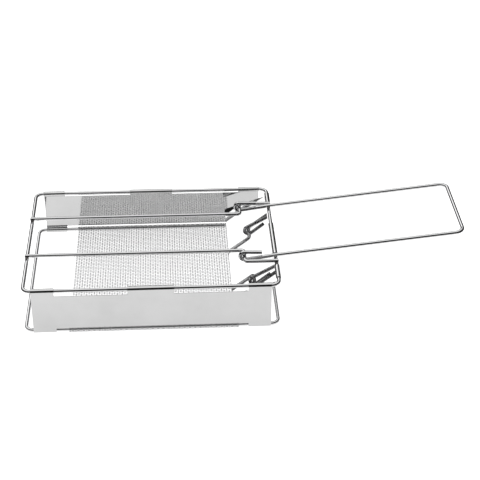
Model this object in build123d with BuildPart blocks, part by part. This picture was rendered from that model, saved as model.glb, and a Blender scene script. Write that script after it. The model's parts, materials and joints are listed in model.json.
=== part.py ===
from build123d import *

import os
from math import asin, atan2, cos, hypot, radians, sin, tan

os.makedirs("parts", exist_ok=True)

# ---------------------------------------------------------------- driving dimensions, millimetres
wire_diameter = 2.8
frame_length = 180.0          # left end wire to right end wire, centre to centre
frame_width = 135.0           # front long wire to rear long wire, centre to centre
frame_corner = 5.5            # bend radius of a frame corner, at the wire's centre
box_height = 33.0             # bottom frame to top frame, centre to centre

sheet = 0.5                   # side plates and end plate
hinge_play = 0.05             # radial gap between a wire and the sheet rolled round it
roll_angle = 240.0            # how far a side plate's knuckle goes round its wire

mesh_thickness = 0.8          # two crossing mesh wires
mesh_left_inset = 30.4        # from the left end wire to the mesh
mesh_right_inset = 28.6
hem_angle = 250.0             # how far a mesh hem goes round its frame wire

plate_end_gap = 0.1           # from the start of a frame's bend to the end of a side plate
end_tab = 16.2                # length of a knuckle at either end of a side plate
middle_tab_left = -17.0
middle_tab_right = 16.0
top_slot_depth = 3.4          # from the top wire's centre down to the plate's cut edge
bottom_slot_depth = 2.4       # from the bottom wire's centre up to the plate's cut edge

grill_wire_y = 25.65          # the two cross wires, left of the handle
grill_wire_bend = 2.3         # bend radius at the wire's centre
jog_gap = 0.2                 # between the rear eye and the bend at the end of its jog
weld_sink = 0.1               # how far a welded cross wire settles into the frame wire

pivot_inset = 22.8            # from the right end wire to the cross wires' jogs, the handle's pivots
handle_y = 1.7                # middle of the handle, a little to the rear of the basket's
handle_leg_y = 34.8           # from the handle's middle to each leg
handle_reach = 158.8          # pivot to the handle's far bar, along X
handle_rise = 6.6             # slope of the legs beyond the end wire, degrees
handle_rest_gap = 0.1         # between a leg and the end wire that stops it
handle_corner = 6.0
handle_knee = 40.0            # slight bend where a leg lies on the end wire

eye_play = 0.3                # radial gap between an eye and the pivot it turns on
eye_tail = 12.5               # straight end of the handle wire, past its eye
eye_tail_droop = 1.8          # the tails slope down a little to the right, degrees

end_plate_slope = 19.0        # below level, falling away from the handle, degrees
end_plate_reach = 35.4        # hinge to free edge, along the slope
end_plate_side_gap = 8.0      # from the plate's edge to the long wire's centre
end_plate_roll = 255.0
end_plate_notch = 2.3         # how far the panel is cut back between the knuckles
end_plate_corner = 2.0
knuckle_gap = 0.6             # from a welded cross wire to the knuckle beside it
middle_knuckle_gap = 3.7      # from the front leg to the middle knuckle
middle_knuckle_rear = 14.2

# ---------------------------------------------------------------- derived places
wire_radius = wire_diameter / 2
roll_inner = wire_radius + hinge_play
roll_outer = roll_inner + sheet
hem_outer = roll_inner + mesh_thickness

bottom_z = hem_outer                      # the hems and the mesh stand on Z = 0
top_z = bottom_z + box_height
half_length = frame_length / 2
mesh_left = -half_length + mesh_left_inset
mesh_right = half_length - mesh_right_inset
pivot_x = half_length - pivot_inset
half_width = frame_width / 2
grill_z = top_z + wire_diameter - weld_sink
plate_right = half_length - frame_corner - plate_end_gap
plate_left = -plate_right
end_tabs = [(plate_left, plate_left + end_tab), (plate_right - end_tab, plate_right)]
top_tabs = [end_tabs[0], (middle_tab_left, middle_tab_right), end_tabs[1]]
front_leg_y = handle_y - handle_leg_y
rear_leg_y = handle_y + handle_leg_y
grill_wire_right_y = rear_leg_y + wire_radius + jog_gap + grill_wire_bend
end_plate_half_width = half_width - end_plate_side_gap
outer_knuckle_start = grill_wire_right_y + wire_radius + knuckle_gap
end_knuckles = [
    (-end_plate_half_width, -outer_knuckle_start),
    (front_leg_y + wire_radius + middle_knuckle_gap, middle_knuckle_rear),
    (outer_knuckle_start, end_plate_half_width),
]


def rolled_sheet(centre, inner, outer, start, sweep):
    """Draw an open ring of bent sheet in the current sketch."""
    with BuildLine() as outline:
        long_arc = CenterArc(centre, outer, start, sweep)
        short_arc = CenterArc(centre, inner, start, sweep)
        Line(long_arc @ 0, short_arc @ 0)
        Line(long_arc @ 1, short_arc @ 1)
    make_face(outline.edges())


def sweep_wire(path):
    """Sweep the round wire along a path in the current part."""
    with BuildSketch(Plane(origin=path @ 0, z_dir=path % 0)) as section:
        Circle(wire_radius)
    sweep(sections=section.sketch, path=path)


# ---------------------------------------------------------------- the two closed wire frames
def frame_loop(z):
    x, y = half_length, half_width
    corners = [(-x, -y, z), (x, -y, z), (x, y, z), (-x, y, z)]
    return FilletPolyline(*corners, radius=frame_corner, close=True)


with BuildPart() as bottom_frame:
    with BuildLine() as loop:
        frame_loop(bottom_z)
    sweep_wire(loop.line)
bottom_frame.part.label = "bottom_frame"

with BuildPart() as top_frame:
    with BuildLine() as loop:
        frame_loop(top_z)
    sweep_wire(loop.line)
top_frame.part.label = "top_frame"


# ---------------------------------------------------------------- mesh floor, hemmed round the long wires
with BuildPart() as mesh_sheet:
    with BuildSketch(Plane.XY):
        with Locations(((mesh_left + mesh_right) / 2, 0)):
            Rectangle(mesh_right - mesh_left, frame_width)
    extrude(amount=mesh_thickness)
    with BuildSketch(Plane.YZ.offset(mesh_left)):
        rolled_sheet((-half_width, bottom_z), roll_inner, hem_outer, 270, -hem_angle)
        rolled_sheet((half_width, bottom_z), roll_inner, hem_outer, 270, hem_angle)
    extrude(amount=mesh_right - mesh_left)
mesh_sheet.part.label = "mesh_sheet"


# ---------------------------------------------------------------- side plates
def side_plate_outline():
    """Draw the flat panel from wire to wire, with slots between its knuckles."""
    length = plate_right - plate_left
    middle = (plate_left + plate_right) / 2
    with Locations((middle, (bottom_z + top_z) / 2)):
        Rectangle(length, box_height)
    for left, right in zip(top_tabs[:-1], top_tabs[1:]):
        with Locations(((left[1] + right[0]) / 2, top_z - top_slot_depth / 2)):
            Rectangle(right[0] - left[1], top_slot_depth, mode=Mode.SUBTRACT)
    with Locations((middle, bottom_z + bottom_slot_depth / 2)):
        Rectangle(length - 2 * end_tab, bottom_slot_depth, mode=Mode.SUBTRACT)


def side_knuckles(side):
    """Roll the tabs round the long wires: side is -1 at the front and 1 at the rear."""
    start = 90 - side * 90
    for tabs, z, way in ((top_tabs, top_z, side), (end_tabs, bottom_z, -side)):
        for left, right in tabs:
            with BuildSketch(Plane.YZ.offset(left)) as knuckle:
                rolled_sheet((side * half_width, z), roll_inner, roll_outer, start, way * roll_angle)
            extrude(knuckle.sketch, amount=right - left)


with BuildPart() as front_side_plate:
    with BuildSketch(Plane.XZ.offset(half_width + roll_inner)):
        side_plate_outline()
    extrude(amount=sheet)
    side_knuckles(-1)
front_side_plate.part.label = "front_side_plate"

with BuildPart() as rear_side_plate:
    with BuildSketch(Plane.XZ.offset(-half_width - roll_outer)):
        side_plate_outline()
    extrude(amount=sheet)
    side_knuckles(1)
rear_side_plate.part.label = "rear_side_plate"


# ---------------------------------------------------------------- cross wires, welded on top of the top frame
def grill_wire(side):
    """Run a cross wire from end to end, with the sideways jog that the handle turns on."""
    end = half_length + wire_radius
    inner, outer = side * grill_wire_y, side * grill_wire_right_y
    points = [(-end, inner), (pivot_x, inner), (pivot_x, outer), (end, outer)]
    return FilletPolyline(*[(x, y, grill_z) for x, y in points], radius=grill_wire_bend)


with BuildPart() as front_cross_wire:
    with BuildLine() as run:
        grill_wire(-1)
    sweep_wire(run.line)
front_cross_wire.part.label = "front_cross_wire"

with BuildPart() as rear_cross_wire:
    with BuildLine() as run:
        grill_wire(1)
    sweep_wire(run.line)
rear_cross_wire.part.label = "rear_cross_wire"


# ---------------------------------------------------------------- end plate, hinged on the top frame's right wire
end_hinge = (half_length, top_z)
end_slope = radians(end_plate_slope)


def along_end_plate(distance, below):
    """A point in XZ, so far down the slope and so far below the hinge wire's centre."""
    x = half_length - distance * cos(end_slope) + below * sin(end_slope)
    z = top_z - distance * sin(end_slope) - below * cos(end_slope)
    return (x, z)


with BuildPart() as end_plate:
    with BuildSketch(Plane.XZ.offset(-end_plate_half_width)) as panel_section:
        with BuildLine():
            Polyline(
                along_end_plate(end_plate_notch, roll_inner),
                along_end_plate(end_plate_reach, roll_inner),
                along_end_plate(end_plate_reach, roll_outer),
                along_end_plate(end_plate_notch, roll_outer),
                close=True,
            )
        make_face()
    extrude(amount=2 * end_plate_half_width)
    free_corners = end_plate.edges().sort_by(Axis.X)[:6].filter_by(
        lambda edge: edge.length < 2 * sheet
    )
    fillet(free_corners, end_plate_corner)
    for front, rear in end_knuckles:
        with BuildSketch(Plane.XZ.offset(-rear)):
            with BuildLine():
                Polyline(
                    along_end_plate(0, roll_inner),
                    along_end_plate(end_plate_notch, roll_inner),
                    along_end_plate(end_plate_notch, roll_outer),
                    along_end_plate(0, roll_outer),
                    close=True,
                )
            make_face()
            rolled_sheet(end_hinge, roll_inner, roll_outer, end_plate_slope - 90, end_plate_roll)
        extrude(amount=rear - front)
end_plate.part.label = "end_plate"


# ---------------------------------------------------------------- handle: one wire with an eye at each end
eye_radius = wire_diameter + eye_play     # at the wire's centre
rest_z = top_z + wire_diameter / cos(radians(handle_rise)) + handle_rest_gap
to_rest = (half_length - pivot_x, rest_z - grill_z)
leg_slope = atan2(to_rest[1], to_rest[0]) + asin(eye_radius / hypot(*to_rest))
tail_slope = radians(-eye_tail_droop)
far_x = pivot_x + handle_reach
far_z = rest_z + (far_x - half_length) * tan(radians(handle_rise))


def on_eye(direction):
    """The eye's point where the wire runs in this direction, going round by the left."""
    return (pivot_x + eye_radius * sin(direction), grill_z - eye_radius * cos(direction))


tail_start = on_eye(tail_slope + radians(180))
tail_end = (tail_start[0] + eye_tail * cos(tail_slope), tail_start[1] + eye_tail * sin(tail_slope))
eye_left = on_eye((leg_slope + tail_slope + radians(180)) / 2 - radians(180))
leg_start = on_eye(leg_slope)


def in_leg_plane(point, y):
    """A point of the side view, moved into a leg's plane."""
    return (point[0], y, point[1])


with BuildPart() as handle_wire:
    with BuildLine() as run:
        for leg_y in (front_leg_y, rear_leg_y):
            Line(in_leg_plane(tail_end, leg_y), in_leg_plane(tail_start, leg_y))
            ThreePointArc(
                in_leg_plane(tail_start, leg_y),
                in_leg_plane(eye_left, leg_y),
                in_leg_plane(leg_start, leg_y),
            )
        FilletPolyline(
            in_leg_plane(leg_start, front_leg_y),
            (half_length, front_leg_y, rest_z),
            (far_x, front_leg_y, far_z),
            (far_x, rear_leg_y, far_z),
            (half_length, rear_leg_y, rest_z),
            in_leg_plane(leg_start, rear_leg_y),
            radius=[handle_knee, handle_corner, handle_corner, handle_knee],
        )
    sweep_wire(run.wires()[0])
handle_wire.part.label = "handle_wire"


# ---------------------------------------------------------------- one file for each piece
export_step(bottom_frame.part, "parts/bottom_frame.step")
export_step(mesh_sheet.part, "parts/mesh_sheet.step")
export_step(front_side_plate.part, "parts/front_side_plate.step")
export_step(rear_side_plate.part, "parts/rear_side_plate.step")
export_step(top_frame.part, "parts/top_frame.step")
export_step(front_cross_wire.part, "parts/front_cross_wire.step")
export_step(rear_cross_wire.part, "parts/rear_cross_wire.step")
export_step(end_plate.part, "parts/end_plate.step")
export_step(handle_wire.part, "parts/handle_wire.step")
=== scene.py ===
import json
from math import asin, atan2, cos, hypot, pi, radians, sin, tan

import bmesh
import bpy
from bpy.props import (
    FloatProperty,
    FloatVectorProperty,
    IntProperty,
    PointerProperty,
)
from mathutils import Matrix, Vector


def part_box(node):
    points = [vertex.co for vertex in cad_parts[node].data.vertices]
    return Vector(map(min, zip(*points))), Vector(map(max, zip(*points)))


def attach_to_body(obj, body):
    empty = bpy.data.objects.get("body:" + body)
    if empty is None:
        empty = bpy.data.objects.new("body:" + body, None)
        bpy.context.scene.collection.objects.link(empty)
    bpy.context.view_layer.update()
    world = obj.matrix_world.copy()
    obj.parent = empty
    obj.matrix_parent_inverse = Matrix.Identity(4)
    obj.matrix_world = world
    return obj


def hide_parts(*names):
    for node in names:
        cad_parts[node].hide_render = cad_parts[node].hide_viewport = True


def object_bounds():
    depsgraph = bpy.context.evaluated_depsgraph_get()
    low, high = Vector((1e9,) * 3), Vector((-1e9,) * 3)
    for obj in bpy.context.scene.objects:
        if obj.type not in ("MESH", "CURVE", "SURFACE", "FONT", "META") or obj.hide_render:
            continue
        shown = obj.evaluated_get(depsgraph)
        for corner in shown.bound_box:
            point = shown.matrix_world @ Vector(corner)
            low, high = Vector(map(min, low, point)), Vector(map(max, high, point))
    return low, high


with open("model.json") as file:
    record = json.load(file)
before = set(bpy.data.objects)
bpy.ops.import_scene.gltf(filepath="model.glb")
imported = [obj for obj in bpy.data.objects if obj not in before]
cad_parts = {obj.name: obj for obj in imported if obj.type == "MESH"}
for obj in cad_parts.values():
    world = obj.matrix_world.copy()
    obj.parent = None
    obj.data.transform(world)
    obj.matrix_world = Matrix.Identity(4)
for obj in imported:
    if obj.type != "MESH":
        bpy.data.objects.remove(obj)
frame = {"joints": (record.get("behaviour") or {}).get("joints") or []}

bl_info = {
    "name": "Folding Grill Basket",
    "version": (1, 0, 0),
    "blender": (4, 5, 0),
    "location": "3D View > Sidebar > Grill Basket",
    "description": "Builds the visible pieces of a folding grill basket round its fixed frame",
    "category": "Add Mesh",
}

MM = 0.001
EYE_BEND = 0.995                          # just under the eye's radius, so its three bends stay apart
WINDOW_DIRECTION = (-0.29, 0.844, 0.452)
WINDOW_EDGE = (0.985, 0.995)              # cosines of the angle from that direction

# ---------------------------------------------------------------- places taken from the fixed frame
frame_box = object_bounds()
top_low, top_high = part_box("top_frame")
bottom_low, bottom_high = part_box("bottom_frame")
cross_low, cross_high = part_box("rear_cross_wire")
plate_low, plate_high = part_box("front_side_plate")
floor_low, floor_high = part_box("mesh_sheet")
shield_low, shield_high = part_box("end_plate")
handle_low, handle_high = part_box("handle_wire")

frame_wire = top_high.z - top_low.z
wire_radius = frame_wire / 2
half_length = top_high.x - wire_radius
half_width = top_high.y - wire_radius
top_z = (top_low.z + top_high.z) / 2
bottom_z = (bottom_low.z + bottom_high.z) / 2
grill_z = (cross_low.z + cross_high.z) / 2
grill_wire_y = cross_low.y + wire_radius
grill_wire_right_y = cross_high.y - wire_radius
front_leg_y = handle_low.y + wire_radius
rear_leg_y = handle_high.y - wire_radius
handle_end_x = handle_high.x - wire_radius

handle_joint = [joint for joint in frame["joints"] if joint["name"] == "handle_swing"][0]
pivot_x = handle_joint["pos_m"][0]


# ---------------------------------------------------------------- sizes and colours a user would change
class BasketWireSizes(bpy.types.PropertyGroup):
    frame_bend: FloatProperty(
        name="Frame corner", description="Bend radius of the two frames' corners, at the wire's centre",
        default=5.5 * MM, min=1.5 * MM, unit="LENGTH", subtype="DISTANCE")
    jog_bend: FloatProperty(
        name="Jog bend", description="Bend radius of the cross wires beside the handle's pivots",
        default=2.3 * MM, min=1.5 * MM, unit="LENGTH", subtype="DISTANCE")
    sides: IntProperty(
        name="Sides", description="Faces round a bent wire", default=24, min=8, max=64)
    bend_steps: IntProperty(
        name="Bend steps", description="Points along each bend of a wire", default=14, min=3, max=48)
    end_round: FloatProperty(
        name="End rounding", description="Tumbled edge at a wire's cut end",
        default=0.28 * MM, min=0.0, unit="LENGTH", subtype="DISTANCE")
    weld_radius: FloatProperty(
        name="Weld radius", description="Reach of the squeezed metal round a cross wire's weld",
        default=1.5 * MM, min=0.0, unit="LENGTH", subtype="DISTANCE")
    handle_rise: FloatProperty(
        name="Handle rise", description="Slope of the handle's legs",
        default=radians(6.6), unit="ROTATION", subtype="ANGLE")
    handle_corner: FloatProperty(
        name="Handle corner", description="Bend radius of the handle's two far corners",
        default=6.0 * MM, min=1.5 * MM, unit="LENGTH", subtype="DISTANCE")
    handle_knee: FloatProperty(
        name="Handle knee", description="Slight bend where a leg lies on the end wire",
        default=40.0 * MM, min=1.5 * MM, unit="LENGTH", subtype="DISTANCE")
    leg_rest: FloatProperty(
        name="Leg rest gap", description="Gap between a leg and the end wire that stops it",
        default=0.1 * MM, min=0.0, unit="LENGTH", subtype="DISTANCE")
    eye_play: FloatProperty(
        name="Eye play", description="Radial gap between an eye and the pivot it turns on",
        default=0.3 * MM, min=0.05 * MM, unit="LENGTH", subtype="DISTANCE")
    eye_tail: FloatProperty(
        name="Eye tail", description="Straight end of the handle wire past its eye",
        default=12.5 * MM, min=1.0 * MM, unit="LENGTH", subtype="DISTANCE")
    tail_droop: FloatProperty(
        name="Tail droop", description="How far the tails slope down towards the handle",
        default=radians(1.8), unit="ROTATION", subtype="ANGLE")


class BasketSheetSizes(bpy.types.PropertyGroup):
    thickness: FloatProperty(
        name="Sheet thickness", description="Side plates and end plate",
        default=0.5 * MM, min=0.1 * MM, unit="LENGTH", subtype="DISTANCE")
    hinge_play: FloatProperty(
        name="Hinge play", description="Radial gap between a wire and the sheet rolled round it",
        default=0.05 * MM, min=0.0, unit="LENGTH", subtype="DISTANCE")
    roll_angle: FloatProperty(
        name="Knuckle roll", description="How far a side plate's knuckle goes round its wire",
        default=radians(240.0), unit="ROTATION", subtype="ANGLE")
    end_tab: FloatProperty(
        name="End knuckle", description="Length of the knuckle at either end of a side plate",
        default=16.2 * MM, min=1.0 * MM, unit="LENGTH", subtype="DISTANCE")
    middle_tab_left: FloatProperty(
        name="Middle knuckle, left", description="Left end of the middle top knuckle",
        default=-17.0 * MM, unit="LENGTH", subtype="DISTANCE")
    middle_tab_right: FloatProperty(
        name="Middle knuckle, right", description="Right end of the middle top knuckle",
        default=16.0 * MM, unit="LENGTH", subtype="DISTANCE")
    top_slot: FloatProperty(
        name="Top slot", description="From the top wire's centre down to the plate's cut edge",
        default=3.4 * MM, min=0.0, unit="LENGTH", subtype="DISTANCE")
    bottom_slot: FloatProperty(
        name="Bottom slot", description="From the bottom wire's centre up to the plate's cut edge",
        default=2.4 * MM, min=0.0, unit="LENGTH", subtype="DISTANCE")
    edge_round: FloatProperty(
        name="Edge rounding", description="Deburred edge of the cut sheet",
        default=0.09 * MM, min=0.0, unit="LENGTH", subtype="DISTANCE")
    end_slope: FloatProperty(
        name="End plate slope", description="Slope of the end plate below level",
        default=radians(19.0), unit="ROTATION", subtype="ANGLE")
    end_reach: FloatProperty(
        name="End plate reach", description="From the hinge to the end plate's free edge",
        default=35.4 * MM, min=5.0 * MM, unit="LENGTH", subtype="DISTANCE")
    end_roll: FloatProperty(
        name="End plate roll", description="How far the end plate's knuckles go round the wire",
        default=radians(255.0), unit="ROTATION", subtype="ANGLE")
    end_notch: FloatProperty(
        name="End plate notch", description="How far the end plate is cut back between its knuckles",
        default=2.3 * MM, min=0.0, unit="LENGTH", subtype="DISTANCE")
    end_corner: FloatProperty(
        name="End plate corner", description="Radius of the end plate's free corners",
        default=2.0 * MM, min=0.0, unit="LENGTH", subtype="DISTANCE")


class BasketMeshSizes(bpy.types.PropertyGroup):
    pitch: FloatProperty(
        name="Mesh pitch", description="Spacing of the woven wires, centre to centre",
        default=1.9 * MM, min=0.6 * MM, unit="LENGTH", subtype="DISTANCE")
    wire: FloatProperty(
        name="Mesh wire", description="Diameter of a woven wire",
        default=0.4 * MM, min=0.1 * MM, unit="LENGTH", subtype="DISTANCE")
    hem_angle: FloatProperty(
        name="Hem wrap", description="How far a hem goes round its frame wire",
        default=radians(250.0), unit="ROTATION", subtype="ANGLE")
    wire_sides: IntProperty(
        name="Woven wire sides", description="Faces round a woven wire", default=6, min=3, max=12)
    steps: IntProperty(
        name="Steps per crossing", description="Points of a woven wire from one crossing to the next",
        default=4, min=2, max=8)


class BasketFinishes(bpy.types.PropertyGroup):
    wire_colour: FloatVectorProperty(
        name="Wire", description="Colour of the polished wire", subtype="COLOR",
        size=3, min=0.0, max=1.0, default=(0.74, 0.74, 0.745))
    plate_colour: FloatVectorProperty(
        name="Plate", description="Colour of the polished sheet", subtype="COLOR",
        size=3, min=0.0, max=1.0, default=(0.68, 0.68, 0.68))
    mesh_colour: FloatVectorProperty(
        name="Mesh", description="Colour of the woven mesh", subtype="COLOR",
        size=3, min=0.0, max=1.0, default=(0.54, 0.54, 0.545))
    weld_colour: FloatVectorProperty(
        name="Weld", description="Colour of the weld's heat-tinted metal", subtype="COLOR",
        size=3, min=0.0, max=1.0, default=(0.36, 0.33, 0.30))


class BasketStudio(bpy.types.PropertyGroup):
    floor_colour: FloatVectorProperty(
        name="Floor", description="Colour of the studio floor", subtype="COLOR",
        size=3, min=0.0, max=1.0, default=(0.93, 0.93, 0.93))
    bounce_colour: FloatVectorProperty(
        name="Bounce", description="Colour of the floor that the metal mirrors", subtype="COLOR",
        size=3, min=0.0, max=1.0, default=(0.4, 0.4, 0.4))
    bounce_margin: FloatProperty(
        name="Bounce margin",
        description="How far the lit floor that the metal mirrors reaches past the basket",
        default=0.06, min=0.01, unit="LENGTH", subtype="DISTANCE")
    sky: FloatProperty(
        name="Tent brightness", description="Brightness of the white light tent", default=1.0, min=0.0)
    window: FloatProperty(
        name="Tent window", description="Extra brightness of the tent's window, behind and to the left",
        default=0.9, min=0.0)
    dark: FloatProperty(
        name="Room brightness", description="Brightness of the dark room below the tent",
        default=0.02, min=0.0)
    tent_lean: FloatProperty(
        name="Tent lean", description="How far the tent leans over to the rear",
        default=0.3, min=-1.0, max=1.0)
    tent_left: FloatProperty(
        name="Tent lean, left", description="How far the tent leans over to the left",
        default=0.2, min=-1.0, max=1.0)
    tent_start: FloatProperty(
        name="Tent start", description="Height on the unit sphere where the tent's edge starts to glow",
        default=0.68, min=-1.0, max=1.0)
    tent_full: FloatProperty(
        name="Tent full", description="Height on the unit sphere where the tent is fully bright",
        default=0.78, min=-1.0, max=1.0)
    floor_glow: FloatProperty(
        name="Floor glow", description="Light that comes up through the studio's pale floor",
        default=0.95, min=0.0)
    bounce_glow: FloatProperty(
        name="Bounce glow", description="Light that comes up through the floor that the metal mirrors",
        default=0.78, min=0.0)
    focal_length: FloatProperty(
        name="Focal length", description="Camera's focal length on a 36 mm sensor",
        default=98.27, min=1.0, subtype="NONE")


# ---------------------------------------------------------------- small helpers
def link(thing):
    bpy.context.scene.collection.objects.link(thing)
    return thing


def clear_piece(name):
    """Remove an earlier build of the same piece."""
    old = bpy.data.objects.get(name)
    if old is not None:
        bpy.data.objects.remove(old, do_unlink=True)


def settle(obj, sharp=None):
    """Turn a piece's modifiers into plain mesh, with crisp edges where it asks for them."""
    graph = bpy.context.evaluated_depsgraph_get()
    graph.update()
    plain = bpy.data.meshes.new_from_object(obj.evaluated_get(graph), depsgraph=graph)
    plain.name = obj.name
    obj.modifiers.clear()
    obj.data = plain
    if sharp is not None:
        plain.shade_smooth()
        plain.set_sharp_from_angle(angle=sharp)
    return obj


def attach(obj, body, slot, *nodes):
    """Join a finished piece to its body and hide the frame nodes it stands for; the slot is not used."""
    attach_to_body(obj, body)
    if nodes:
        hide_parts(*nodes)
    return obj


def mesh_object(name, points, faces=(), edges=()):
    clear_piece(name)
    data = bpy.data.meshes.new(name)
    data.from_pydata([tuple(p) for p in points], list(edges), list(faces))
    data.update()
    return link(bpy.data.objects.new(name, data))


def round_edges(obj, width, segments=2, limit=radians(50.0)):
    """Deburr the sharp edges, and keep the broad faces' own shading."""
    bevel = obj.modifiers.new("Deburred edge", "BEVEL")
    bevel.width = width
    bevel.segments = segments
    bevel.limit_method = "ANGLE"
    bevel.angle_limit = limit
    broad = obj.modifiers.new("Broad faces lead", "WEIGHTED_NORMAL")
    broad.mode = "FACE_AREA"
    broad.weight = 90


# ---------------------------------------------------------------- node helpers
def add_node(tree, kind, **settings):
    node = tree.nodes.new(kind)
    for key, value in settings.items():
        setattr(node, key, value)
    return node


def wire_up(tree, *pairs):
    for source, target in pairs:
        tree.links.new(source, target)


def tree_input(tree, name, kind, default=None):
    socket = tree.interface.new_socket(name=name, in_out="INPUT", socket_type=kind)
    if default is not None:
        socket.default_value = default
    return socket


def run_tree(obj, tree, inputs):
    """Give an object a geometry tree with its inputs set by their identifiers."""
    modifier = obj.modifiers.new(tree.name, "NODES")
    modifier.node_group = tree
    for item in tree.interface.items_tree:
        if item.item_type == "SOCKET" and item.in_out == "INPUT" and item.name in inputs:
            modifier[item.identifier] = inputs[item.name]
    return modifier


def math_node(tree, operation, first, second=None):
    node = add_node(tree, "ShaderNodeMath", operation=operation)
    for index, value in enumerate((first, second)):
        if value is None:
            continue
        if hasattr(value, "is_output"):
            tree.links.new(value, node.inputs[index])
        else:
            node.inputs[index].default_value = value
    return node.outputs[0]


# ---------------------------------------------------------------- finishes
def principled(name):
    finish = bpy.data.materials.get(name)
    if finish is not None:
        bpy.data.materials.remove(finish)
    finish = bpy.data.materials.new(name)
    finish.use_nodes = True
    tree = finish.node_tree
    tree.nodes.clear()
    out = add_node(tree, "ShaderNodeOutputMaterial")
    shader = add_node(tree, "ShaderNodeBsdfPrincipled")
    tree.links.new(shader.outputs[0], out.inputs["Surface"])
    return finish, tree, shader


def noise(tree, vector, scale, detail=2.0, roughness=0.5):
    node = add_node(tree, "ShaderNodeTexNoise")
    node.inputs["Scale"].default_value = scale
    node.inputs["Detail"].default_value = detail
    node.inputs["Roughness"].default_value = roughness
    tree.links.new(vector, node.inputs["Vector"])
    return node.outputs["Fac"]


def stretched(tree, vector, scale):
    node = add_node(tree, "ShaderNodeMapping")
    node.inputs["Scale"].default_value = scale
    tree.links.new(vector, node.inputs["Vector"])
    return node.outputs["Vector"]


def ranged(tree, value, low, high, from_low=0.3, from_high=0.7):
    node = add_node(tree, "ShaderNodeMapRange")
    node.inputs["From Min"].default_value = from_low
    node.inputs["From Max"].default_value = from_high
    node.inputs["To Min"].default_value = low
    node.inputs["To Max"].default_value = high
    tree.links.new(value, node.inputs["Value"])
    return node.outputs["Result"]


def two_tone(tree, value, dark, light):
    node = add_node(tree, "ShaderNodeMix", data_type="RGBA")
    node.inputs[6].default_value = (*dark, 1.0)
    node.inputs[7].default_value = (*light, 1.0)
    tree.links.new(value, node.inputs["Factor"])
    return node.outputs[2]


def bump(tree, shader, height, strength, distance):
    node = add_node(tree, "ShaderNodeBump")
    node.inputs["Strength"].default_value = strength
    node.inputs["Distance"].default_value = distance
    wire_up(tree, (height, node.inputs["Height"]), (node.outputs["Normal"], shader.inputs["Normal"]))


def bright_wire_finish(colour):
    """Drawn and electropolished wire: fine lines along it and a slightly uneven shine."""
    finish, tree, shader = principled("polished drawn wire")
    shader.inputs["Metallic"].default_value = 1.0
    along = add_node(tree, "ShaderNodeAttribute", attribute_type="GEOMETRY", attribute_name="wire_coords")
    lines = noise(tree, stretched(tree, along.outputs["Vector"], (2600.0, 2600.0, 45.0)), 1.0, 3.0, 0.6)
    patches = noise(tree, stretched(tree, along.outputs["Vector"], (160.0, 160.0, 60.0)), 1.0, 2.0, 0.5)
    dark = [channel * 0.95 for channel in colour]
    light = [min(1.0, channel * 1.04) for channel in colour]
    tree.links.new(two_tone(tree, ranged(tree, patches, 0.0, 1.0), dark, light), shader.inputs["Base Color"])
    shine = math_node(tree, "ADD", ranged(tree, lines, 0.0, 0.03), ranged(tree, patches, 0.03, 0.07))
    tree.links.new(shine, shader.inputs["Roughness"])
    bump(tree, shader, lines, 0.12, 0.02 * MM)
    return finish


def polished_plate_finish(name, colour, low, high, grain=(26.0, 2400.0, 2400.0)):
    """Cold-rolled sheet with a bright finish: faint rolling grain, haze and handling marks."""
    finish, tree, shader = principled(name)
    shader.inputs["Metallic"].default_value = 1.0
    place = add_node(tree, "ShaderNodeTexCoord").outputs["Object"]
    lines = noise(tree, stretched(tree, place, grain), 1.0, 4.0, 0.65)
    haze = noise(tree, place, 46.0, 3.0, 0.55)
    wear = noise(tree, stretched(tree, place, (300.0, 420.0, 380.0)), 1.0, 5.0, 0.75)
    dark = [channel * 0.965 for channel in colour]
    light = [min(1.0, channel * 1.03) for channel in colour]
    tree.links.new(two_tone(tree, ranged(tree, haze, 0.0, 1.0), dark, light), shader.inputs["Base Color"])
    shine = math_node(tree, "ADD", ranged(tree, haze, low, high), ranged(tree, lines, 0.0, 0.035))
    marks = math_node(tree, "ADD", shine, ranged(tree, wear, 0.0, 0.07, 0.66, 0.8))
    tree.links.new(marks, shader.inputs["Roughness"])
    bump(tree, shader, lines, 0.08, 0.012 * MM)
    return finish


def woven_wire_finish(colour):
    """Woven stainless wire: softly bright, with a little colour from one wire to the next."""
    finish, tree, shader = principled("woven stainless wire")
    shader.inputs["Metallic"].default_value = 1.0
    place = add_node(tree, "ShaderNodeTexCoord").outputs["Object"]
    strands = noise(tree, stretched(tree, place, (520.0, 520.0, 90.0)), 1.0, 2.0, 0.6)
    patches = noise(tree, place, 38.0, 3.0, 0.6)
    dark = [channel * 0.86 for channel in colour]
    light = [min(1.0, channel * 1.08) for channel in colour]
    tree.links.new(two_tone(tree, ranged(tree, strands, 0.0, 1.0), dark, light), shader.inputs["Base Color"])
    tree.links.new(ranged(tree, patches, 0.20, 0.34), shader.inputs["Roughness"])
    bump(tree, shader, strands, 0.1, 0.02 * MM)
    return finish


def weld_finish(colour):
    """Squeezed and slightly heat-tinted metal of a resistance weld."""
    finish, tree, shader = principled("resistance weld")
    shader.inputs["Metallic"].default_value = 1.0
    place = add_node(tree, "ShaderNodeTexCoord").outputs["Object"]
    grain = noise(tree, place, 1500.0, 4.0, 0.7)
    dark = [channel * 0.7 for channel in colour]
    shade = two_tone(tree, ranged(tree, grain, 0.0, 1.0), dark, list(colour))
    tree.links.new(shade, shader.inputs["Base Color"])
    tree.links.new(ranged(tree, grain, 0.28, 0.5), shader.inputs["Roughness"])
    bump(tree, shader, grain, 0.5, 0.06 * MM)
    return finish


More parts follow.
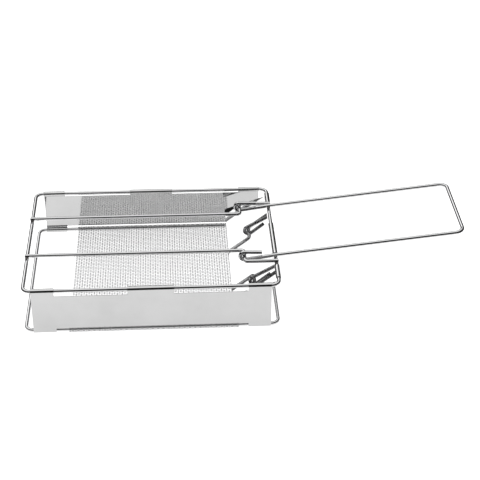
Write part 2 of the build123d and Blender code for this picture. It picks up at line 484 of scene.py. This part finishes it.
def finish_for(name):
    """A finish, made when the first piece asks for it."""
    found = bpy.data.materials.get(name)
    if found is not None:
        return found
    colours = bpy.context.scene.basket_finishes
    if name == "polished drawn wire":
        return bright_wire_finish(colours.wire_colour)
    if name == "bright side plate":
        return polished_plate_finish(name, colours.plate_colour, 0.03, 0.06)
    if name == "mirror end plate":
        return polished_plate_finish(name, colours.plate_colour, 0.02, 0.05, (2400.0, 26.0, 2400.0))
    if name == "woven stainless wire":
        return woven_wire_finish(colours.mesh_colour)
    if name == "resistance weld":
        return weld_finish(colours.weld_colour)
    raise ValueError(f"no finish is called {name!r}")


# ---------------------------------------------------------------- bent wire, as a geometry tree
def bent_wire_tree():
    """Round wire along a line of corners; each corner's bend radius is the line's own attribute."""
    tree = bpy.data.node_groups.get("Bent Wire")
    if tree is not None:
        return tree
    tree = bpy.data.node_groups.new("Bent Wire", "GeometryNodeTree")
    tree_input(tree, "Line", "NodeSocketGeometry")
    tree_input(tree, "Wire Radius", "NodeSocketFloat", wire_radius)
    tree_input(tree, "Bend Steps", "NodeSocketInt", 14)
    tree_input(tree, "Sides", "NodeSocketInt", 24)
    tree_input(tree, "Finish", "NodeSocketMaterial")
    tree.interface.new_socket(name="Wire", in_out="OUTPUT", socket_type="NodeSocketGeometry")
    group = add_node(tree, "NodeGroupInput").outputs
    out = add_node(tree, "NodeGroupOutput")
    line = add_node(tree, "GeometryNodeMeshToCurve")
    bend = add_node(tree, "GeometryNodeInputNamedAttribute", data_type="FLOAT")
    bend.inputs["Name"].default_value = "bend_radius"
    fillet = add_node(tree, "GeometryNodeFilletCurve", mode="POLY")
    wire_up(
        tree,
        (group["Line"], line.inputs["Mesh"]),
        (line.outputs["Curve"], fillet.inputs["Curve"]),
        (group["Bend Steps"], fillet.inputs["Count"]),
        (bend.outputs["Attribute"], fillet.inputs["Radius"]),
    )
    reach = add_node(tree, "GeometryNodeCaptureAttribute", domain="POINT")
    reach.capture_items.new("FLOAT", "Length")
    run = add_node(tree, "GeometryNodeSplineParameter")
    wire_up(
        tree,
        (fillet.outputs["Curve"], reach.inputs["Geometry"]),
        (run.outputs["Length"], reach.inputs["Length"]),
    )
    ring = add_node(tree, "GeometryNodeCurvePrimitiveCircle", mode="RADIUS")
    turn = add_node(tree, "GeometryNodeCaptureAttribute", domain="POINT")
    turn.capture_items.new("FLOAT", "Turn")
    around = add_node(tree, "GeometryNodeSplineParameter")
    wire_up(
        tree,
        (group["Sides"], ring.inputs["Resolution"]),
        (group["Wire Radius"], ring.inputs["Radius"]),
        (ring.outputs["Curve"], turn.inputs["Geometry"]),
        (around.outputs["Factor"], turn.inputs["Turn"]),
    )
    skin = add_node(tree, "GeometryNodeCurveToMesh")
    skin.inputs["Fill Caps"].default_value = True
    wire_up(
        tree,
        (reach.outputs["Geometry"], skin.inputs["Curve"]),
        (turn.outputs["Geometry"], skin.inputs["Profile Curve"]),
    )
    angle = math_node(tree, "MULTIPLY", turn.outputs["Turn"], 2 * pi)
    across = math_node(tree, "MULTIPLY", math_node(tree, "COSINE", angle), group["Wire Radius"])
    up = math_node(tree, "MULTIPLY", math_node(tree, "SINE", angle), group["Wire Radius"])
    place = add_node(tree, "ShaderNodeCombineXYZ")
    store = add_node(tree, "GeometryNodeStoreNamedAttribute", data_type="FLOAT_VECTOR", domain="POINT")
    store.inputs["Name"].default_value = "wire_coords"
    smooth = add_node(tree, "GeometryNodeSetShadeSmooth")
    paint = add_node(tree, "GeometryNodeSetMaterial")
    whole = add_node(tree, "GeometryNodeRealizeInstances")
    wire_up(
        tree,
        (across, place.inputs[0]),
        (up, place.inputs[1]),
        (reach.outputs["Length"], place.inputs[2]),
        (skin.outputs["Mesh"], store.inputs["Geometry"]),
        (place.outputs["Vector"], store.inputs["Value"]),
        (store.outputs["Geometry"], smooth.inputs["Geometry"]),
        (smooth.outputs["Geometry"], whole.inputs["Geometry"]),
        (whole.outputs["Geometry"], paint.inputs["Geometry"]),
        (group["Finish"], paint.inputs["Material"]),
        (paint.outputs["Geometry"], out.inputs[0]),
    )
    return tree


def bent_wire(name, corners, bends, closed=False):
    """One wire through these corners, with a bend radius at each."""
    sizes = bpy.context.scene.basket_wires
    count = len(corners)
    edges = [(i, i + 1) for i in range(count - 1)] + ([(count - 1, 0)] if closed else [])
    wire = mesh_object(name, corners, edges=edges)
    radii = wire.data.attributes.new("bend_radius", "FLOAT", "POINT")
    radii.data.foreach_set("value", bends)
    run_tree(wire, bent_wire_tree(), {
        "Wire Radius": wire_radius,
        "Bend Steps": sizes.bend_steps,
        "Sides": sizes.sides,
        "Finish": finish_for("polished drawn wire"),
    })
    if not closed:
        round_edges(wire, sizes.end_round)
    return settle(wire, None if not closed else radians(40.0))


def join_pieces(target, extras):
    """Melt extra meshes into a piece, keeping each one's own finish."""
    with bpy.context.temp_override(
        active_object=target, object=target, selected_objects=[target, *extras],
        selected_editable_objects=[target, *extras],
    ):
        bpy.ops.object.join()
    return target


def weld_bead(name, x, y):
    """The thin lens of squeezed metal where a cross wire sits on an end wire."""
    reach = bpy.context.scene.basket_wires.weld_radius
    data = bpy.data.meshes.new(name)
    shape = bmesh.new()
    bmesh.ops.create_uvsphere(shape, u_segments=20, v_segments=10, radius=1.0)
    for vertex in shape.verts:
        angle = atan2(vertex.co.y, vertex.co.x)
        swell = 1.0 + 0.07 * sin(3 * angle + x * 900.0) + 0.05 * sin(5 * angle + y * 700.0)
        vertex.co = Vector((
            x + vertex.co.x * reach * swell,
            y + vertex.co.y * reach * swell,
            (top_z + grill_z) / 2 + vertex.co.z * reach * 0.42,
        ))
    shape.to_mesh(data)
    shape.free()
    data.materials.append(finish_for("resistance weld"))
    data.shade_smooth()
    return link(bpy.data.objects.new(name, data))


# ---------------------------------------------------------------- bent sheet, from a grid of its flat pattern
def graded(start, end, step):
    """Evenly spaced places from start to end, no further apart than step."""
    count = max(1, int(round((end - start) / step + 0.499)))
    return [start + (end - start) * i / count for i in range(count + 1)]


def merged(*runs):
    """One rising list of places, without repeats."""
    found = []
    for value in sorted(v for run in runs for v in run):
        if not found or value - found[-1] > 1e-7:
            found.append(value)
    return found


def sheet_piece(name, rows, columns, place, keep, finish):
    """Thick sheet from a flat pattern: place() bends it and keep() says which cells are metal."""
    sizes = bpy.context.scene.basket_sheets
    points, faces = [], []
    wide = len(columns)
    for row in rows:
        for column in columns:
            points.append(place(row, column))
    for i in range(len(rows) - 1):
        for j in range(wide - 1):
            if keep((rows[i] + rows[i + 1]) / 2, (columns[j] + columns[j + 1]) / 2):
                a = i * wide + j
                faces.append((a, a + 1, a + wide + 1, a + wide))
    sheet = mesh_object(name, points, faces=faces)
    shape = bmesh.new()
    shape.from_mesh(sheet.data)
    bmesh.ops.delete(shape, geom=[v for v in shape.verts if not v.link_faces], context="VERTS")
    shape.to_mesh(sheet.data)
    shape.free()
    sheet.data.shade_smooth()
    thick = sheet.modifiers.new("Sheet thickness", "SOLIDIFY")
    thick.thickness = sizes.thickness
    thick.offset = 0.0
    thick.use_even_offset = True
    round_edges(sheet, sizes.edge_round)
    settle(sheet)
    sheet.data.materials.clear()
    sheet.data.materials.append(finish_for(finish))
    return sheet


# ---------------------------------------------------------------- woven mesh, as a geometry tree
def woven_tree():
    """A family of crimped wires across a path: every second one rises where its neighbours dip."""
    tree = bpy.data.node_groups.get("Woven Wires")
    if tree is not None:
        return tree
    tree = bpy.data.node_groups.new("Woven Wires", "GeometryNodeTree")
    tree_input(tree, "Line", "NodeSocketGeometry")
    tree_input(tree, "Crossings", "NodeSocketInt", 100)
    tree_input(tree, "Steps", "NodeSocketInt", 4)
    tree_input(tree, "Crimp", "NodeSocketFloat", 0.2 * MM)
    tree_input(tree, "Wire Radius", "NodeSocketFloat", 0.2 * MM)
    tree_input(tree, "Sides", "NodeSocketInt", 4)
    tree_input(tree, "Face Direction", "NodeSocketVector", (1.0, 0.0, 0.0))
    tree_input(tree, "Places", "NodeSocketObject")
    tree_input(tree, "Phase", "NodeSocketInt", 0)
    tree_input(tree, "Finish", "NodeSocketMaterial")
    tree.interface.new_socket(name="Weave", in_out="OUTPUT", socket_type="NodeSocketGeometry")
    group = add_node(tree, "NodeGroupInput").outputs
    out = add_node(tree, "NodeGroupOutput")

    line = add_node(tree, "GeometryNodeMeshToCurve")
    even = add_node(tree, "GeometryNodeResampleCurve", mode="COUNT")
    count = math_node(tree, "ADD", math_node(tree, "MULTIPLY", group["Crossings"], group["Steps"]), 1.0)
    wire_up(
        tree,
        (group["Line"], line.inputs["Mesh"]),
        (line.outputs["Curve"], even.inputs["Curve"]),
        (count, even.inputs["Count"]),
    )
    index = add_node(tree, "GeometryNodeInputIndex").outputs[0]
    quarter = math_node(tree, "DIVIDE", math_node(tree, "MULTIPLY", index, pi), group["Steps"])
    wave = math_node(tree, "MULTIPLY", math_node(tree, "SINE", quarter), group["Crimp"])
    tangent = add_node(tree, "GeometryNodeInputTangent").outputs[0]
    normal = add_node(tree, "ShaderNodeVectorMath", operation="CROSS_PRODUCT")
    wire_up(tree, (tangent, normal.inputs[0]), (group["Face Direction"], normal.inputs[1]))
    ring = add_node(tree, "GeometryNodeCurvePrimitiveCircle", mode="RADIUS")
    wire_up(
        tree,
        (group["Sides"], ring.inputs["Resolution"]),
        (group["Wire Radius"], ring.inputs["Radius"]),
    )
    places = add_node(tree, "GeometryNodeObjectInfo", transform_space="ORIGINAL")
    tree.links.new(group["Places"], places.inputs["Object"])
    facing = add_node(tree, "GeometryNodeInputNamedAttribute", data_type="FLOAT_VECTOR")
    facing.inputs["Name"].default_value = "facing"
    turn = add_node(tree, "FunctionNodeAlignRotationToVector", axis="Z", pivot_axis="X")
    tree.links.new(facing.outputs["Attribute"], turn.inputs["Vector"])
    count = add_node(tree, "GeometryNodeInputIndex").outputs[0]
    parity = math_node(tree, "MODULO", math_node(tree, "ADD", count, group["Phase"]), 2.0)
    both = add_node(tree, "GeometryNodeJoinGeometry")
    for sign, chosen in ((1.0, "LESS_THAN"), (-1.0, "GREATER_THAN")):
        lift = add_node(tree, "ShaderNodeVectorMath", operation="SCALE")
        move = add_node(tree, "GeometryNodeSetPosition")
        skin = add_node(tree, "GeometryNodeCurveToMesh")
        skin.inputs["Fill Caps"].default_value = True
        copies = add_node(tree, "GeometryNodeInstanceOnPoints")
        wire_up(
            tree,
            (normal.outputs["Vector"], lift.inputs[0]),
            (math_node(tree, "MULTIPLY", wave, sign), lift.inputs["Scale"]),
            (even.outputs["Curve"], move.inputs["Geometry"]),
            (lift.outputs["Vector"], move.inputs["Offset"]),
            (move.outputs["Geometry"], skin.inputs["Curve"]),
            (ring.outputs["Curve"], skin.inputs["Profile Curve"]),
            (places.outputs["Geometry"], copies.inputs["Points"]),
            (skin.outputs["Mesh"], copies.inputs["Instance"]),
            (math_node(tree, chosen, parity, 0.5), copies.inputs["Selection"]),
            (turn.outputs["Rotation"], copies.inputs["Rotation"]),
            (copies.outputs["Instances"], both.inputs[0]),
        )
    whole = add_node(tree, "GeometryNodeRealizeInstances")
    paint = add_node(tree, "GeometryNodeSetMaterial")
    wire_up(
        tree,
        (both.outputs[0], whole.inputs["Geometry"]),
        (whole.outputs["Geometry"], paint.inputs["Geometry"]),
        (group["Finish"], paint.inputs["Material"]),
        (paint.outputs["Geometry"], out.inputs[0]),
    )
    return tree


def woven_wires(name, line_points, places, facings, crossings, face_direction, phase):
    """A family of woven wires: one crimped wire along line_points, repeated at each place."""
    sizes = bpy.context.scene.basket_mesh
    spots = mesh_object(name + "_places", places)
    facing = spots.data.attributes.new("facing", "FLOAT_VECTOR", "POINT")
    facing.data.foreach_set("vector", [c for f in facings for c in f])
    edges = [(i, i + 1) for i in range(len(line_points) - 1)]
    weave = mesh_object(name, line_points, edges=edges)
    run_tree(weave, woven_tree(), {
        "Crossings": crossings,
        "Steps": sizes.steps,
        "Crimp": sizes.wire / 2,
        "Wire Radius": sizes.wire / 2,
        "Sides": sizes.wire_sides,
        "Face Direction": face_direction,
        "Places": spots,
        "Phase": phase,
        "Finish": finish_for("woven stainless wire"),
    })
    settle(weave, sharp=radians(80.0))
    bpy.data.objects.remove(spots, do_unlink=True)
    return weave


# ---------------------------------------------------------------- operators
class GRILL_OT_frames(bpy.types.Operator):
    """Bend the two closed wire frames"""
    bl_idname = "grill_basket.frames"
    bl_label = "Wire frames"

    def execute(self, context):
        bend = context.scene.basket_wires.frame_bend
        x, y = half_length, half_width
        for name, node, z, body in (
            ("bottom_frame_wire", "bottom_frame", bottom_z, "base"),
            ("top_frame_wire", "top_frame", top_z, "grill_top"),
        ):
            corners = [(-x, -y, z), (x, -y, z), (x, y, z), (-x, y, z)]
            wire = bent_wire(name, corners, [bend] * 4, closed=True)
            attach(wire, body, "bright_wire", node)
        return {"FINISHED"}


class GRILL_OT_cross_wires(bpy.types.Operator):
    """Bend the two cross wires and weld them on the top frame"""
    bl_idname = "grill_basket.cross_wires"
    bl_label = "Cross wires"

    def execute(self, context):
        bend = context.scene.basket_wires.jog_bend
        end = cross_high.x
        for name, node, side in (
            ("front_cross_bar", "front_cross_wire", -1),
            ("rear_cross_bar", "rear_cross_wire", 1),
        ):
            inner, outer = side * grill_wire_y, side * grill_wire_right_y
            corners = [
                (-end, inner, grill_z), (pivot_x, inner, grill_z),
                (pivot_x, outer, grill_z), (end, outer, grill_z),
            ]
            wire = bent_wire(name, corners, [0.0, bend, bend, 0.0])
            beads = [
                weld_bead(name + "_left_weld", -half_length, inner),
                weld_bead(name + "_right_weld", half_length, outer),
            ]
            join_pieces(wire, beads)
            attach(wire, "grill_top", "bright_wire", node)
        return {"FINISHED"}


class GRILL_OT_mesh_floor(bpy.types.Operator):
    """Weave the mesh floor, with its hems round the bottom frame's long wires"""
    bl_idname = "grill_basket.mesh_floor"
    bl_label = "Woven mesh floor"

    def execute(self, context):
        sizes = context.scene.basket_mesh
        left, right = floor_low.x, floor_high.x
        level = sizes.wire
        reach = bottom_z - level
        wrap = reach * sizes.hem_angle
        length = 2 * wrap + 2 * half_width
        rows = int(round(length / sizes.pitch))
        columns = int(round((right - left) / sizes.pitch))

        def path_point(s):
            """Place and face direction of the sheet's middle, so far along from the front hem's end."""
            if s < wrap:
                angle = -pi / 2 - (wrap - s) / reach
                spot = (-half_width + reach * cos(angle), bottom_z + reach * sin(angle))
                return Vector((0.0, *spot)), Vector((0.0, cos(angle), sin(angle)))
            if s > length - wrap:
                angle = -pi / 2 + (s - length + wrap) / reach
                spot = (half_width + reach * cos(angle), bottom_z + reach * sin(angle))
                return Vector((0.0, *spot)), Vector((0.0, cos(angle), sin(angle)))
            return Vector((0.0, s - wrap - half_width, level)), Vector((0.0, 0.0, -1.0))

        line = [path_point(s)[0] for s in graded(0.0, length, sizes.pitch / 4)]
        step_x = (right - left) / columns
        spans = [(0, columns // 2, "left"), (columns // 2, columns, "right")]
        for start, end, side in spans:
            places = [(left + (i + 0.5) * step_x, 0.0, 0.0) for i in range(start, end)]
            weave = woven_wires(
                "mesh_wires_across_" + side, line, places, [(0.0, 0.0, 1.0)] * len(places),
                rows, (1.0, 0.0, 0.0), start)
            attach(weave, "base", "woven_mesh", "mesh_sheet")
        run = [Vector((left, 0.0, 0.0)), Vector((right, 0.0, 0.0))]
        step_y = length / rows
        for start, end, side in ((0, rows // 2, "front"), (rows // 2, rows, "rear")):
            found = [path_point((j + 0.5) * step_y) for j in range(start, end)]
            weave = woven_wires(
                "mesh_wires_along_" + side, run, [spot for spot, _ in found],
                [face for _, face in found], columns, (0.0, 1.0, 0.0), start + 1)
            attach(weave, "base", "woven_mesh", "mesh_sheet")
        return {"FINISHED"}


class GRILL_OT_side_plates(bpy.types.Operator):
    """Cut and roll the two side plates"""
    bl_idname = "grill_basket.side_plates"
    bl_label = "Side plates"

    def execute(self, context):
        sizes = context.scene.basket_sheets
        middle = wire_radius + sizes.hinge_play + sizes.thickness / 2
        height = top_z - bottom_z
        wrap = middle * sizes.roll_angle
        left, right = plate_low.x, plate_high.x
        end_tabs = [(left, left + sizes.end_tab), (right - sizes.end_tab, right)]
        top_tabs = [end_tabs[0], (sizes.middle_tab_left, sizes.middle_tab_right), end_tabs[1]]
        columns = merged(
            graded(left, left + sizes.end_tab, 4 * MM),
            graded(left + sizes.end_tab, sizes.middle_tab_left, 6 * MM),
            graded(sizes.middle_tab_left, sizes.middle_tab_right, 5.5 * MM),
            graded(sizes.middle_tab_right, right - sizes.end_tab, 6 * MM),
            graded(right - sizes.end_tab, right, 4 * MM),
        )
        step = middle * radians(10.0)
        rows = merged(
            graded(-wrap, 0.0, step),
            graded(0.0, sizes.bottom_slot, 1.2 * MM),
            graded(sizes.bottom_slot, height - sizes.top_slot, 5 * MM),
            graded(height - sizes.top_slot, height, 1.2 * MM),
            graded(height, height + wrap, step),
        )

        def metal(s, x):
            in_end = any(a < x < b for a, b in end_tabs)
            in_top = any(a < x < b for a, b in top_tabs)
            if s < sizes.bottom_slot:
                return in_end
            if s > height - sizes.top_slot:
                return in_top
            return True

        for name, node, side, body in (
            ("front_side_panel", "front_side_plate", -1, "front_wall"),
            ("rear_side_panel", "rear_side_plate", 1, "rear_wall"),
        ):
            def bent(s, x):
                if s > height:
                    angle, base, way = (s - height) / middle, top_z, 1
                elif s < 0.0:
                    angle, base, way = -s / middle, bottom_z, -1
                else:
                    return Vector((x, side * (half_width + middle), bottom_z + s))
                y = side * (half_width + middle * cos(angle))
                return Vector((x, y, base + way * middle * sin(angle)))

            panel = sheet_piece(name, rows, columns, bent, metal, "bright side plate")
            attach(panel, body, "polished_sheet", node)
        return {"FINISHED"}


class GRILL_OT_end_plate(bpy.types.Operator):
    """Cut and roll the sloping end plate"""
    bl_idname = "grill_basket.end_plate"
    bl_label = "End plate"

    def execute(self, context):
        sizes = context.scene.basket_sheets
        slope = sizes.end_slope
        middle = wire_radius + sizes.hinge_play + sizes.thickness / 2
        wrap = middle * sizes.end_roll
        front, rear = shield_low.y, shield_high.y
        outer_start = grill_wire_right_y + wire_radius + 0.6 * MM
        knuckles = [
            (front, -outer_start),
            (front_leg_y + wire_radius + 3.7 * MM, 14.2 * MM),
            (outer_start, rear),
        ]
        corner = sizes.end_corner
        columns = merged(
            graded(front, front + corner, 0.4 * MM),
            graded(rear - corner, rear, 0.4 * MM),
            graded(front + corner, knuckles[0][1], 4 * MM),
            graded(knuckles[0][1], knuckles[1][0], 4 * MM),
            graded(knuckles[1][0], knuckles[1][1], 4 * MM),
            graded(knuckles[1][1], knuckles[2][0], 4 * MM),
            graded(knuckles[2][0], rear - corner, 4 * MM),
        )
        rows = merged(
            graded(-wrap, 0.0, middle * radians(10.0)),
            graded(0.0, sizes.end_notch, 1.2 * MM),
            graded(sizes.end_notch, sizes.end_reach - corner, 5 * MM),
            graded(sizes.end_reach - corner, sizes.end_reach, 0.4 * MM),
        )

        def metal(s, y):
            return s > sizes.end_notch or any(a < y < b for a, b in knuckles)

        def bent(s, y):
            if s < 0.0:
                angle = slope - pi / 2 - s / middle
                return Vector((half_length + middle * cos(angle), y, top_z + middle * sin(angle)))
            over = s - (sizes.end_reach - corner)
            aside = abs(y) - ((rear if y > 0 else -front) - corner)
            if over > 0.0 and aside > 0.0:
                shrink = max(over, aside) / hypot(over, aside)
                s = sizes.end_reach - corner + over * shrink
                y += (1.0 if y > 0 else -1.0) * aside * (shrink - 1.0)
            return Vector((
                half_length - s * cos(slope) + middle * sin(slope), y,
                top_z - s * sin(slope) - middle * cos(slope)))

        panel = sheet_piece("end_panel", rows, columns, bent, metal, "mirror end plate")
        attach(panel, "end_shield", "polished_sheet", "end_plate")
        return {"FINISHED"}


class GRILL_OT_handle(bpy.types.Operator):
    """Bend the handle, with an eye and a tail at each end of its wire"""
    bl_idname = "grill_basket.handle"
    bl_label = "Handle"

    def execute(self, context):
        sizes = context.scene.basket_wires
        ring = frame_wire + sizes.eye_play
        rest = (half_length, top_z + frame_wire / cos(sizes.handle_rise) + sizes.leg_rest)
        ahead = (rest[0] - pivot_x, rest[1] - grill_z)
        leg_slope = atan2(ahead[1], ahead[0]) + asin(ring / hypot(*ahead))
        tail_slope = -sizes.tail_droop
        far = (handle_end_x, rest[1] + (handle_end_x - rest[0]) * tan(sizes.handle_rise))

        def round_eye(direction, out=ring):
            return (pivot_x + out * sin(direction), grill_z - out * cos(direction))

        tail_start = round_eye(tail_slope + pi)
        tail_end = (
            tail_start[0] + sizes.eye_tail * cos(tail_slope),
            tail_start[1] + sizes.eye_tail * sin(tail_slope))
        share = (pi + leg_slope - tail_slope) / 3
        turns = [tail_slope - pi + share * (step + 0.5) for step in range(3)]
        side_view = [tail_end] + [round_eye(turn, ring / cos(share / 2)) for turn in turns] + [rest, far]
        corners = [(x, front_leg_y, z) for x, z in side_view]
        corners += [(x, rear_leg_y, z) for x, z in reversed(side_view)]
        one_side = [0.0, *[ring * EYE_BEND] * 3, sizes.handle_knee, sizes.handle_corner]
        wire = bent_wire("handle_loop_wire", corners, one_side + one_side[::-1])
        attach(wire, "handle", "bright_wire", "handle_wire")
        return {"FINISHED"}


class GRILL_OT_studio(bpy.types.Operator):
    """Set the floor, the light tent and the camera"""
    bl_idname = "grill_basket.studio"
    bl_label = "Studio"

    def execute(self, context):
        studio = context.scene.basket_studio
        self.floors(studio)
        self.light_tent(context.scene, studio)
        self.camera(context.scene, studio)
        context.scene.view_settings.view_transform = "Standard"
        return {"FINISHED"}

    def floors(self, studio):
        low, high = frame_box
        for name, margin, drop, colour, glow, seen in (
            ("studio_floor", 6.0, 0.0, studio.floor_colour, studio.floor_glow, True),
            ("bounce_floor", studio.bounce_margin, 0.05 * MM,
             studio.bounce_colour, studio.bounce_glow, False),
        ):
            left, right = low[0] - margin, high[0] + margin
            front, rear = low[1] - margin, high[1] + margin
            level = low[2] - drop
            floor = mesh_object(
                name,
                [(left, front, level), (right, front, level), (right, rear, level), (left, rear, level)],
                faces=[(0, 1, 2, 3)])
            finish, tree, shader = principled(name)
            shader.inputs["Roughness"].default_value = 0.9
            shader.inputs["Specular IOR Level"].default_value = 0.0
            place = add_node(tree, "ShaderNodeTexCoord").outputs["Object"]
            grain = noise(tree, place, 60.0, 3.0, 0.5)
            dark = [channel * 0.99 for channel in colour]
            tree.links.new(two_tone(tree, grain, dark, list(colour)), shader.inputs["Base Color"])
            shader.inputs["Emission Color"].default_value = (1.0, 1.0, 1.0, 1.0)
            shader.inputs["Emission Strength"].default_value = glow
            floor.data.materials.append(finish)
            floor.visible_camera = seen
            floor.visible_glossy = not seen
            floor.visible_diffuse = not seen
            floor.visible_shadow = False

    def light_tent(self, scene, studio):
        world = bpy.data.worlds.new("light tent")
        scene.world = world
        world.use_nodes = True
        tree = world.node_tree
        tree.nodes.clear()
        out = add_node(tree, "ShaderNodeOutputWorld")
        shell = add_node(tree, "ShaderNodeBackground")
        direction = add_node(tree, "ShaderNodeTexCoord").outputs["Generated"]
        split = add_node(tree, "ShaderNodeSeparateXYZ")
        tree.links.new(direction, split.inputs[0])
        lean = math_node(tree, "MULTIPLY", split.outputs["Y"], studio.tent_lean)
        aside = math_node(tree, "MULTIPLY", split.outputs["X"], -studio.tent_left)
        leaning = math_node(tree, "ADD", math_node(tree, "ADD", split.outputs["Z"], lean), aside)
        height = ranged(tree, leaning, studio.dark, studio.sky, studio.tent_start, studio.tent_full)
        facing = add_node(tree, "ShaderNodeVectorMath", operation="DOT_PRODUCT")
        facing.inputs[1].default_value = WINDOW_DIRECTION
        tree.links.new(direction, facing.inputs[0])
        window = ranged(tree, facing.outputs["Value"], 0.0, studio.window, *WINDOW_EDGE)
        glow = math_node(tree, "ADD", height, window)
        wire_up(tree, (glow, shell.inputs["Strength"]), (shell.outputs[0], out.inputs["Surface"]))
        shell.inputs["Color"].default_value = (1.0, 1.0, 1.0, 1.0)

    def camera(self, scene, studio):
        clear_piece("studio_camera")
        data = bpy.data.cameras.new("studio_camera")
        data.sensor_width = 36.0
        data.lens = studio.focal_length
        data.clip_start = 0.01
        data.clip_end = 50.0
        camera = link(bpy.data.objects.new("studio_camera", data))
        right = Vector((0.99841, -0.05610, 0.00490))
        up = Vector((0.02581, 0.53321, 0.84559))
        back = -Vector((0.05005, 0.84412, -0.53381))
        turn = Matrix((right, up, back)).transposed().to_4x4()
        turn.translation = Vector((0.0168, -0.8272, 0.5538))
        camera.matrix_world = turn
        scene.camera = camera


class GRILL_PT_basket(bpy.types.Panel):
    """Sizes, finishes and build steps of the grill basket"""
    bl_idname = "GRILL_PT_basket"
    bl_label = "Grill Basket"
    bl_space_type = "VIEW_3D"
    bl_region_type = "UI"
    bl_category = "Grill Basket"

    def draw(self, context):
        for title, group in (
            ("Wire", context.scene.basket_wires),
            ("Sheet", context.scene.basket_sheets),
            ("Woven mesh", context.scene.basket_mesh),
            ("Finishes", context.scene.basket_finishes),
            ("Studio", context.scene.basket_studio),
        ):
            box = self.layout.box()
            box.label(text=title)
            for name in group.__annotations__:
                box.prop(group, name)
        for operator in build_steps:
            self.layout.operator(operator.bl_idname)


build_steps = (
    GRILL_OT_frames,
    GRILL_OT_cross_wires,
    GRILL_OT_mesh_floor,
    GRILL_OT_side_plates,
    GRILL_OT_end_plate,
    GRILL_OT_handle,
    GRILL_OT_studio,
)
size_groups = (
    ("basket_wires", BasketWireSizes),
    ("basket_sheets", BasketSheetSizes),
    ("basket_mesh", BasketMeshSizes),
    ("basket_finishes", BasketFinishes),
    ("basket_studio", BasketStudio),
)


def register():
    for name, group in size_groups:
        bpy.utils.register_class(group)
        setattr(bpy.types.Scene, name, PointerProperty(type=group))
    for operator in build_steps:
        bpy.utils.register_class(operator)
    bpy.utils.register_class(GRILL_PT_basket)


def unregister():
    bpy.utils.unregister_class(GRILL_PT_basket)
    for operator in reversed(build_steps):
        bpy.utils.unregister_class(operator)
    for name, group in reversed(size_groups):
        delattr(bpy.types.Scene, name)
        bpy.utils.unregister_class(group)


def main():
    register()
    for operator in build_steps:
        package, name = operator.bl_idname.split(".")
        getattr(getattr(bpy.ops, package), name)()
    bpy.context.view_layer.update()


if __name__ == "__main__":
    main()
